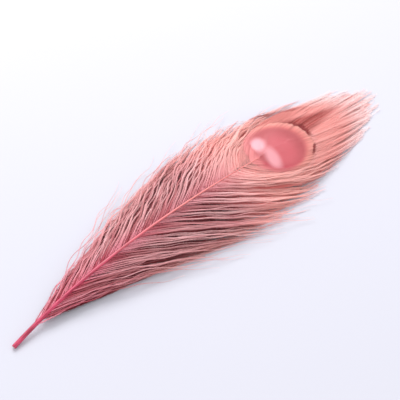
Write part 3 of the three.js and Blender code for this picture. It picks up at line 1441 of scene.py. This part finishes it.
    def dress(self, arrays: MeshArrays, draws: Draws, run: BarbRun, fringe: Fringe) -> None:
        """Adds the branches and barbules of one layer.

        Args:
            arrays: Where the triangles go.
            draws: Source of the differences between barbules.
            run: The layer's barbs.
            fringe: The layer's barbules.
        """
        f = run.shares[None, :] + np.zeros((draws.count, 1))
        run.add_branches(arrays, (self.branch_root + (self.branch_tip - self.branch_root) * f) * MM)
        share = smooth(-0.08, 0.04, f) * (1 - 0.6 * smooth(0.72, 1.0, f))
        run.add_barbules(arrays, draws.rng, fringe, share)

    def build(self, finish: BarbFinish) -> bpy.types.Object:
        """Builds the side's mesh."""
        node = f"{self.side.name.lower()}_barbs"
        return self.build_layers("loose_barbs", node, finish.material())


@dataclass
class EyeBarbs(Vane):
    """One half of the eye and crown: barbs packed side by side in the disc and loose beyond it."""

    slot: str = "eye_barbs"
    upper: int = 108
    lower: int = 84
    upper_fringe: Fringe = Fringe(count=420, length=1.4, width=0.23, lean=32.0, hang=0.05, thinning=0.55)
    lower_fringe: Fringe = Fringe(count=220, length=1.7, width=0.55, lean=34.0)
    steps: int = 56
    locks: int = 15
    bundle: int = 3
    gather: float = 0.3
    overlap: float = 1.25
    ridge: float = 0.24
    dome: float = 0.8
    lock_drift: float = 0.05
    barb_drift: float = 0.035
    longest: float = 1.1
    lock_reach: float = 0.02
    barb_reach: float = 0.2
    lower_short: float = 0.08
    loosens: tuple[float, float] = (0.5, 1.0)
    lock_lift: tuple[float, float] = (0.2, 0.35)
    tip_lift: float = 1.4
    bundle_lift: float = 0.25
    lower_drop: tuple[float, float] = (0.6, 0.9)
    sway: float = 0.35
    sway_waves: float = 1.6
    bundle_roll: float = 0.22
    barb_roll: float = 0.2
    flatness: float = 0.75
    raggedness: float = 0.08
    branch_root: float = 0.13
    branch_taper: float = 0.1
    ribbon_limits: tuple[float, float] = (0.07, 0.7)
    thinnest: float = 0.03

    def layer(self, draws: Draws, depth: float) -> BarbRun:
        """Lays out one layer of branches.

        Args:
            draws: Source of the differences between barbs.
            depth: The layer's depth.

        Returns:
            The barbs.
        """
        count, top = draws.count, 1 - depth
        first, last = self.form.eye_station, self.form.last_station
        own = np.linspace(first, last, count, endpoint=self.side is Side.RIGHT)[:, None]
        f = np.linspace(0, 1, self.steps)[None, :]
        locks = draws.gather(own, self.locks)
        bundles = Groups(count, np.arange(count)[:, None] // self.bundle, own)
        loose = smooth(*self.loosens, f)
        pull = self.gather * draws.uniform(*self.gathering) * loose * top
        drift = draws.normal(self.lock_drift, locks) * loose
        wander = draws.normal(self.barb_drift) * loose
        u = np.clip(own + (locks.middle - own) * pull + drift + wander, first - 0.1, last)
        short = draws.uniform(0, 1) * self.barb_reach
        reach = self.longest + draws.normal(self.lock_reach, locks) - short - self.lower_short * depth
        x, y = self.form.barb_point(u, self.side.value, f, 1 + (reach - 1) * loose)
        p, q = self.form.eye_place(x, y)
        disc = np.hypot(p, q)
        lift = draws.normal(self.lock_lift[1], locks, self.lock_lift[0]) * loose * self.tip_lift
        lift = lift + draws.normal(self.bundle_lift, bundles) * smooth(0.95, 1.15, disc) * (1.2 - f)
        z = self.form.barb_height(u, f)
        in_eye = 1 - smooth(0.3, 0.05, np.abs(p)) * smooth(-0.45, -0.8, q)
        z = z + (self.form.eye_height(p, y) - z) * smooth(1.2, 0.85, disc) * in_eye
        z = z + lift * top + self.dome * smooth(1.05, 0.85, disc) * in_eye
        z = z - depth * (self.lower_drop[0] + self.lower_drop[1] * smooth(0.05, 0.3, f))
        z = self.clear(draws, z, depth)
        phase = draws.uniform(0, 2 * np.pi)
        sway = self.sway * np.sin(2 * np.pi * f * self.sway_waves + phase) * loose
        flat = smooth(0.95, 0.7, disc)
        flat = np.maximum(flat, smooth(0.5, 0.2, np.abs(p)) * smooth(1.15, 1.0, disc))
        roll = draws.normal(self.bundle_roll, bundles) * (1 - self.flatness * flat)
        roll = roll + draws.normal(self.barb_roll) * loose
        lots = self.lots(draws, bundles)
        return self.run((x, y, z), sway, roll, lots, np.ones((count, 1)), depth)

    def spacing(self, run: BarbRun) -> Array:
        """Distance from each barb to the next, across them, in metres."""
        apart = np.linalg.norm(np.cross(np.diff(run.points, axis=0), run.forward[:-1]), axis=-1)
        return np.concatenate([apart, apart[-1:]])

    def dress(self, arrays: MeshArrays, draws: Draws, run: BarbRun, fringe: Fringe) -> None:
        """Adds the branches of one layer, with ribbons inside the disc and barbules outside it.

        Args:
            arrays: Where the triangles go.
            draws: Source of the differences between barbules.
            run: The layer's barbs.
            fringe: The layer's barbules.
        """
        disc = np.hypot(run.eye[..., 0], run.eye[..., 1])
        in_disc = smooth(1.03, 0.98, disc + (run.lots - 0.5) * self.raggedness) * (1 - run.depth)
        f = run.shares[None, :] + np.zeros_like(disc)
        radius = (self.branch_root - self.branch_taper * f) * MM
        if run.depth == 0:
            apart = self.spacing(run)
            narrow, wide = self.ribbon_limits
            half_width = np.clip(self.overlap * apart / 2, narrow * MM, wide * MM)
            run.add_ribbons(arrays, half_width * in_disc, self.ridge)
            radius = np.where(in_disc > 0, np.clip(0.4 * apart, self.thinnest * MM, radius), radius)
        run.add_branches(arrays, radius)
        near_disc = 0.3 + 0.7 * np.maximum(run.depth, smooth(1.0, 1.25, disc))
        share = (1 - in_disc) * near_disc * (1 + 0.35 * smooth(0.6, 0.9, f))
        run.add_barbules(arrays, draws.rng, fringe, share * smooth(0.0, 0.1, f))

    def build(self, finish: EyeFinish) -> bpy.types.Object:
        """Builds this half's mesh."""
        return self.build_layers("eye_and_crown", "eye_barbs", finish.material())


@dataclass
class Shaft:
    """The bare quill and the rachis: a grooved, tapered stalk that shows its pith at the cut end.

    The groove is a share of the height; skin and recess, at the cut end, are in millimetres.
    """

    form: FeatherForm
    corners: int = 16
    rings: int = 30
    groove: float = 0.35
    skin: float = 0.16
    recess: float = 0.25
    sharp_degrees: float = 50.0

    def ring_place(self, ring: int) -> float:
        """Millimetres from the cut end to a ring."""
        return self.form.shaft_length * ring / self.rings

    def centre(self, y: float) -> Vector:
        """Middle of the shaft at y, in metres."""
        z = self.form.arch * self.form.arch_share(y) + self.size_at(y)[1] / 2
        return Vector(self.form.lying(0.0, y, z))

    def heading(self, y: float) -> tuple[float, float]:
        """Turn about Z and about X that points +Y along the shaft at y, in radians."""
        ahead = self.centre(y + 0.5) - self.centre(y - 0.5)
        return math.atan2(-ahead.x, ahead.y), math.atan2(ahead.z, math.hypot(ahead.x, ahead.y))

    def size_at(self, y: float) -> tuple[float, float]:
        """Width and height at y, in millimetres."""
        sizes = (self.form.shaft_width, self.form.shaft_height)
        return tuple(float(self.form.along_shaft(size, y)) for size in sizes)

    def build(self, skin: KeratinFinish, pith: PithFinish) -> bpy.types.Object:
        """Extrudes the shaft ring by ring from its cut end, then insets the cut.

        Args:
            skin: The finish outside.
            pith: The finish inside the cut end.

        Returns:
            The finished piece.
        """
        bpy.ops.object.select_all(action="DESELECT")
        first = self.centre(0.0)
        bpy.ops.mesh.primitive_circle_add(
            vertices=self.corners,
            radius=0.5 * MM,
            fill_type="NGON",
            location=first,
            rotation=(math.pi / 2, 0.0, 0.0),
        )
        piece = bpy.context.object
        piece.name = piece.data.name = "quill_and_rachis"
        bpy.ops.object.transform_apply(location=True, rotation=True, scale=True)
        bpy.ops.object.mode_set(mode="EDIT")
        bpy.ops.mesh.select_all(action="SELECT")
        width, height = self.size_at(0.0)
        bpy.ops.transform.resize(value=(width, 1.0, height), center_override=first)
        self.turn(first, *self.heading(0.0))
        for ring in range(1, self.rings + 1):
            self.extrude(ring)
        bpy.ops.object.mode_set(mode="OBJECT")
        self.cut_groove(piece)
        piece.data.materials.append(skin.material(self.form))
        piece.data.materials.append(pith.material())
        self.open_cut(piece)
        modifier = piece.modifiers.new("round", "SUBSURF")
        modifier.levels = modifier.render_levels = 1
        bpy.ops.object.modifier_apply(modifier=modifier.name)
        bpy.ops.object.shade_smooth_by_angle(angle=math.radians(self.sharp_degrees))
        settle(piece, "shaft_keratin", "shaft")
        return piece

    def turn(self, centre: Vector, about_z: float, about_x: float) -> None:
        """Turns what is selected.

        Args:
            centre: The point that it turns about.
            about_z: Turn about Z, in radians.
            about_x: Turn about X, which comes first.
        """
        for angle, axis in ((about_x, "X"), (about_z, "Z")):
            bpy.ops.transform.rotate(value=-angle, orient_axis=axis, center_override=centre)

    def extrude(self, ring: int) -> None:
        """Extrudes the open end to the next ring, shrinks it and turns it along the shaft.

        Args:
            ring: The new ring's number.
        """
        y_from, y_to = self.ring_place(ring - 1), self.ring_place(ring)
        centre = self.centre(y_to)
        step = centre - self.centre(y_from)
        bpy.ops.mesh.extrude_region_move(TRANSFORM_OT_translate={"value": step})
        (was_wide, was_high), (wide, high) = self.size_at(y_from), self.size_at(y_to)
        shrink = (wide / was_wide, 1.0, high / was_high)
        bpy.ops.transform.resize(value=shrink, center_override=centre)
        was_z, was_x = self.heading(y_from)
        now_z, now_x = self.heading(y_to)
        self.turn(centre, now_z - was_z, now_x - was_x)

    def cut_groove(self, piece: bpy.types.Object) -> None:
        """Lifts the lowest corner of each ring into the shaft, as the groove along its underside.

        Args:
            piece: The shaft.
        """
        ends = [self.ring_place(ring) for ring in range(self.rings + 1)]
        rings: list[list[tuple[float, int]]] = [[] for _ in ends]
        centres = [self.centre(y) for y in ends]
        for vertex in piece.data.vertices:
            nearest = min(range(len(ends)), key=lambda i: (vertex.co - centres[i]).length)
            rings[nearest].append((vertex.co.z, vertex.index))
        for y, ring in zip(ends, rings, strict=True):
            self.deselect("VERT")
            piece.data.vertices[min(ring)[1]].select = True
            bpy.ops.object.mode_set(mode="EDIT")
            bpy.ops.transform.translate(value=(0.0, 0.0, self.groove * self.size_at(y)[1] * MM))
            bpy.ops.object.mode_set(mode="OBJECT")

    def deselect(self, kind: str) -> None:
        """Deselects the whole mesh and leaves edit mode.

        Args:
            kind: What is selected from then on, "VERT" or "FACE".
        """
        bpy.ops.object.mode_set(mode="EDIT")
        bpy.ops.mesh.select_mode(type=kind)
        bpy.ops.mesh.select_all(action="DESELECT")
        bpy.ops.object.mode_set(mode="OBJECT")

    def open_cut(self, piece: bpy.types.Object) -> None:
        """Insets the cut end and sinks the pith a little below the skin.

        Args:
            piece: The shaft.
        """
        self.deselect("FACE")
        caps = [face for face in piece.data.polygons if len(face.vertices) == self.corners]
        cut = min(caps, key=lambda face: face.center.y)
        cut.select = True
        inward = -cut.normal * self.recess * MM
        bpy.ops.object.mode_set(mode="EDIT")
        bpy.ops.mesh.inset(thickness=self.skin * MM)
        bpy.ops.mesh.extrude_region_move(TRANSFORM_OT_translate={"value": inward})
        bpy.ops.object.mode_set(mode="OBJECT")
        for face in piece.data.polygons:
            face.material_index = 1 if face.select else 0


@dataclass(frozen=True)
class Softbox:
    """One large square light that faces the feather: place and size in metres, strength in watts."""

    name: str
    place: tuple[float, float, float]
    size: float
    watts: float

    def build(self) -> None:
        """Adds the light."""
        data = bpy.data.lights.new(self.name, "AREA")
        data.size = self.size
        data.energy = self.watts
        lamp = bpy.data.objects.new(self.name, data)
        lamp.location = self.place
        lamp.rotation_euler = (-Vector(self.place)).to_track_quat("-Z", "Y").to_euler()
        bpy.context.scene.collection.objects.link(lamp)


@dataclass
class Studio:
    """A white surface, soft lights and the camera, which looks down along the lying feather."""

    azimuth: float = 47.5
    elevation: float = 50.0
    lens: float = 100.0
    distance: float = 0.70
    clip: tuple[float, float] = (0.01, 50.0)
    floor_size: float = 6.0
    world_strength: float = 0.92
    softboxes: tuple[Softbox, ...] = (
        Softbox("key_light", (-0.95, 0.45, 1.0), 0.8, 20.0),
        Softbox("fill_light", (0.6, -0.8, 1.2), 1.2, 3.0),
    )

    def build(self) -> None:
        """Sets the stage, the lights and the camera."""
        bpy.ops.object.select_all(action="DESELECT")
        bpy.ops.mesh.primitive_plane_add(size=self.floor_size, location=(0.0, 0.0, 0.0))
        floor = bpy.context.object
        floor.name = "white_surface"
        floor.data.materials.append(FloorFinish().material())
        self.light_world()
        for softbox in self.softboxes:
            softbox.build()
        self.add_camera()
        bpy.context.scene.view_settings.view_transform = "Standard"

    def light_world(self) -> None:
        """Lights the scene from all round with plain white."""
        world = bpy.data.worlds.new("studio")
        world.use_nodes = True
        background = world.node_tree.nodes["Background"]
        background.inputs["Color"].default_value = (1.0, 1.0, 1.0, 1.0)
        background.inputs["Strength"].default_value = self.world_strength
        bpy.context.scene.world = world

    def add_camera(self) -> None:
        """Places the camera at the viewing angle, aimed at the feather's middle."""
        low, high = CAD_BOX
        azimuth, elevation = math.radians(self.azimuth), math.radians(self.elevation)
        away = math.cos(elevation)
        back = Vector((math.sin(azimuth) * away, -math.cos(azimuth) * away, math.sin(elevation)))
        data = bpy.data.cameras.new("camera")
        data.lens = self.lens
        data.clip_start, data.clip_end = self.clip
        camera = bpy.data.objects.new("camera", data)
        camera.location = (low + high) / 2 + back * self.distance
        camera.rotation_euler = (-back).to_track_quat("-Z", "Y").to_euler()
        bpy.context.scene.collection.objects.link(camera)
        bpy.context.scene.camera = camera


@dataclass(frozen=True)
class SideLook:
    """What tells one side's loose barbs from the other's."""

    waviness: float
    stray_share: float
    shade_share: float


SIDE_LOOKS = {Side.LEFT: SideLook(1.2, 0.12, 0.05), Side.RIGHT: SideLook(0.7, 0.24, 0.17)}
FIRST_SEED = 11
EYE_SEED_STEP = 10


def main() -> None:
    """Builds the feather's pieces and the studio."""
    logging.basicConfig(level=logging.INFO, format="%(name)s: %(message)s")
    form = FeatherForm()
    Shaft(form).build(KeratinFinish(), PithFinish())
    for seed, side in enumerate(Side, start=FIRST_SEED):
        look = SIDE_LOOKS[side]
        barbs = LooseBarbs(form, side, seed, waviness=look.waviness, stray_share=look.stray_share)
        barbs.build(BarbFinish(shade_share=look.shade_share))
        EyeBarbs(form, side, seed + EYE_SEED_STEP).build(EyeFinish())
    Studio().build()


if __name__ == "__main__":
    main()
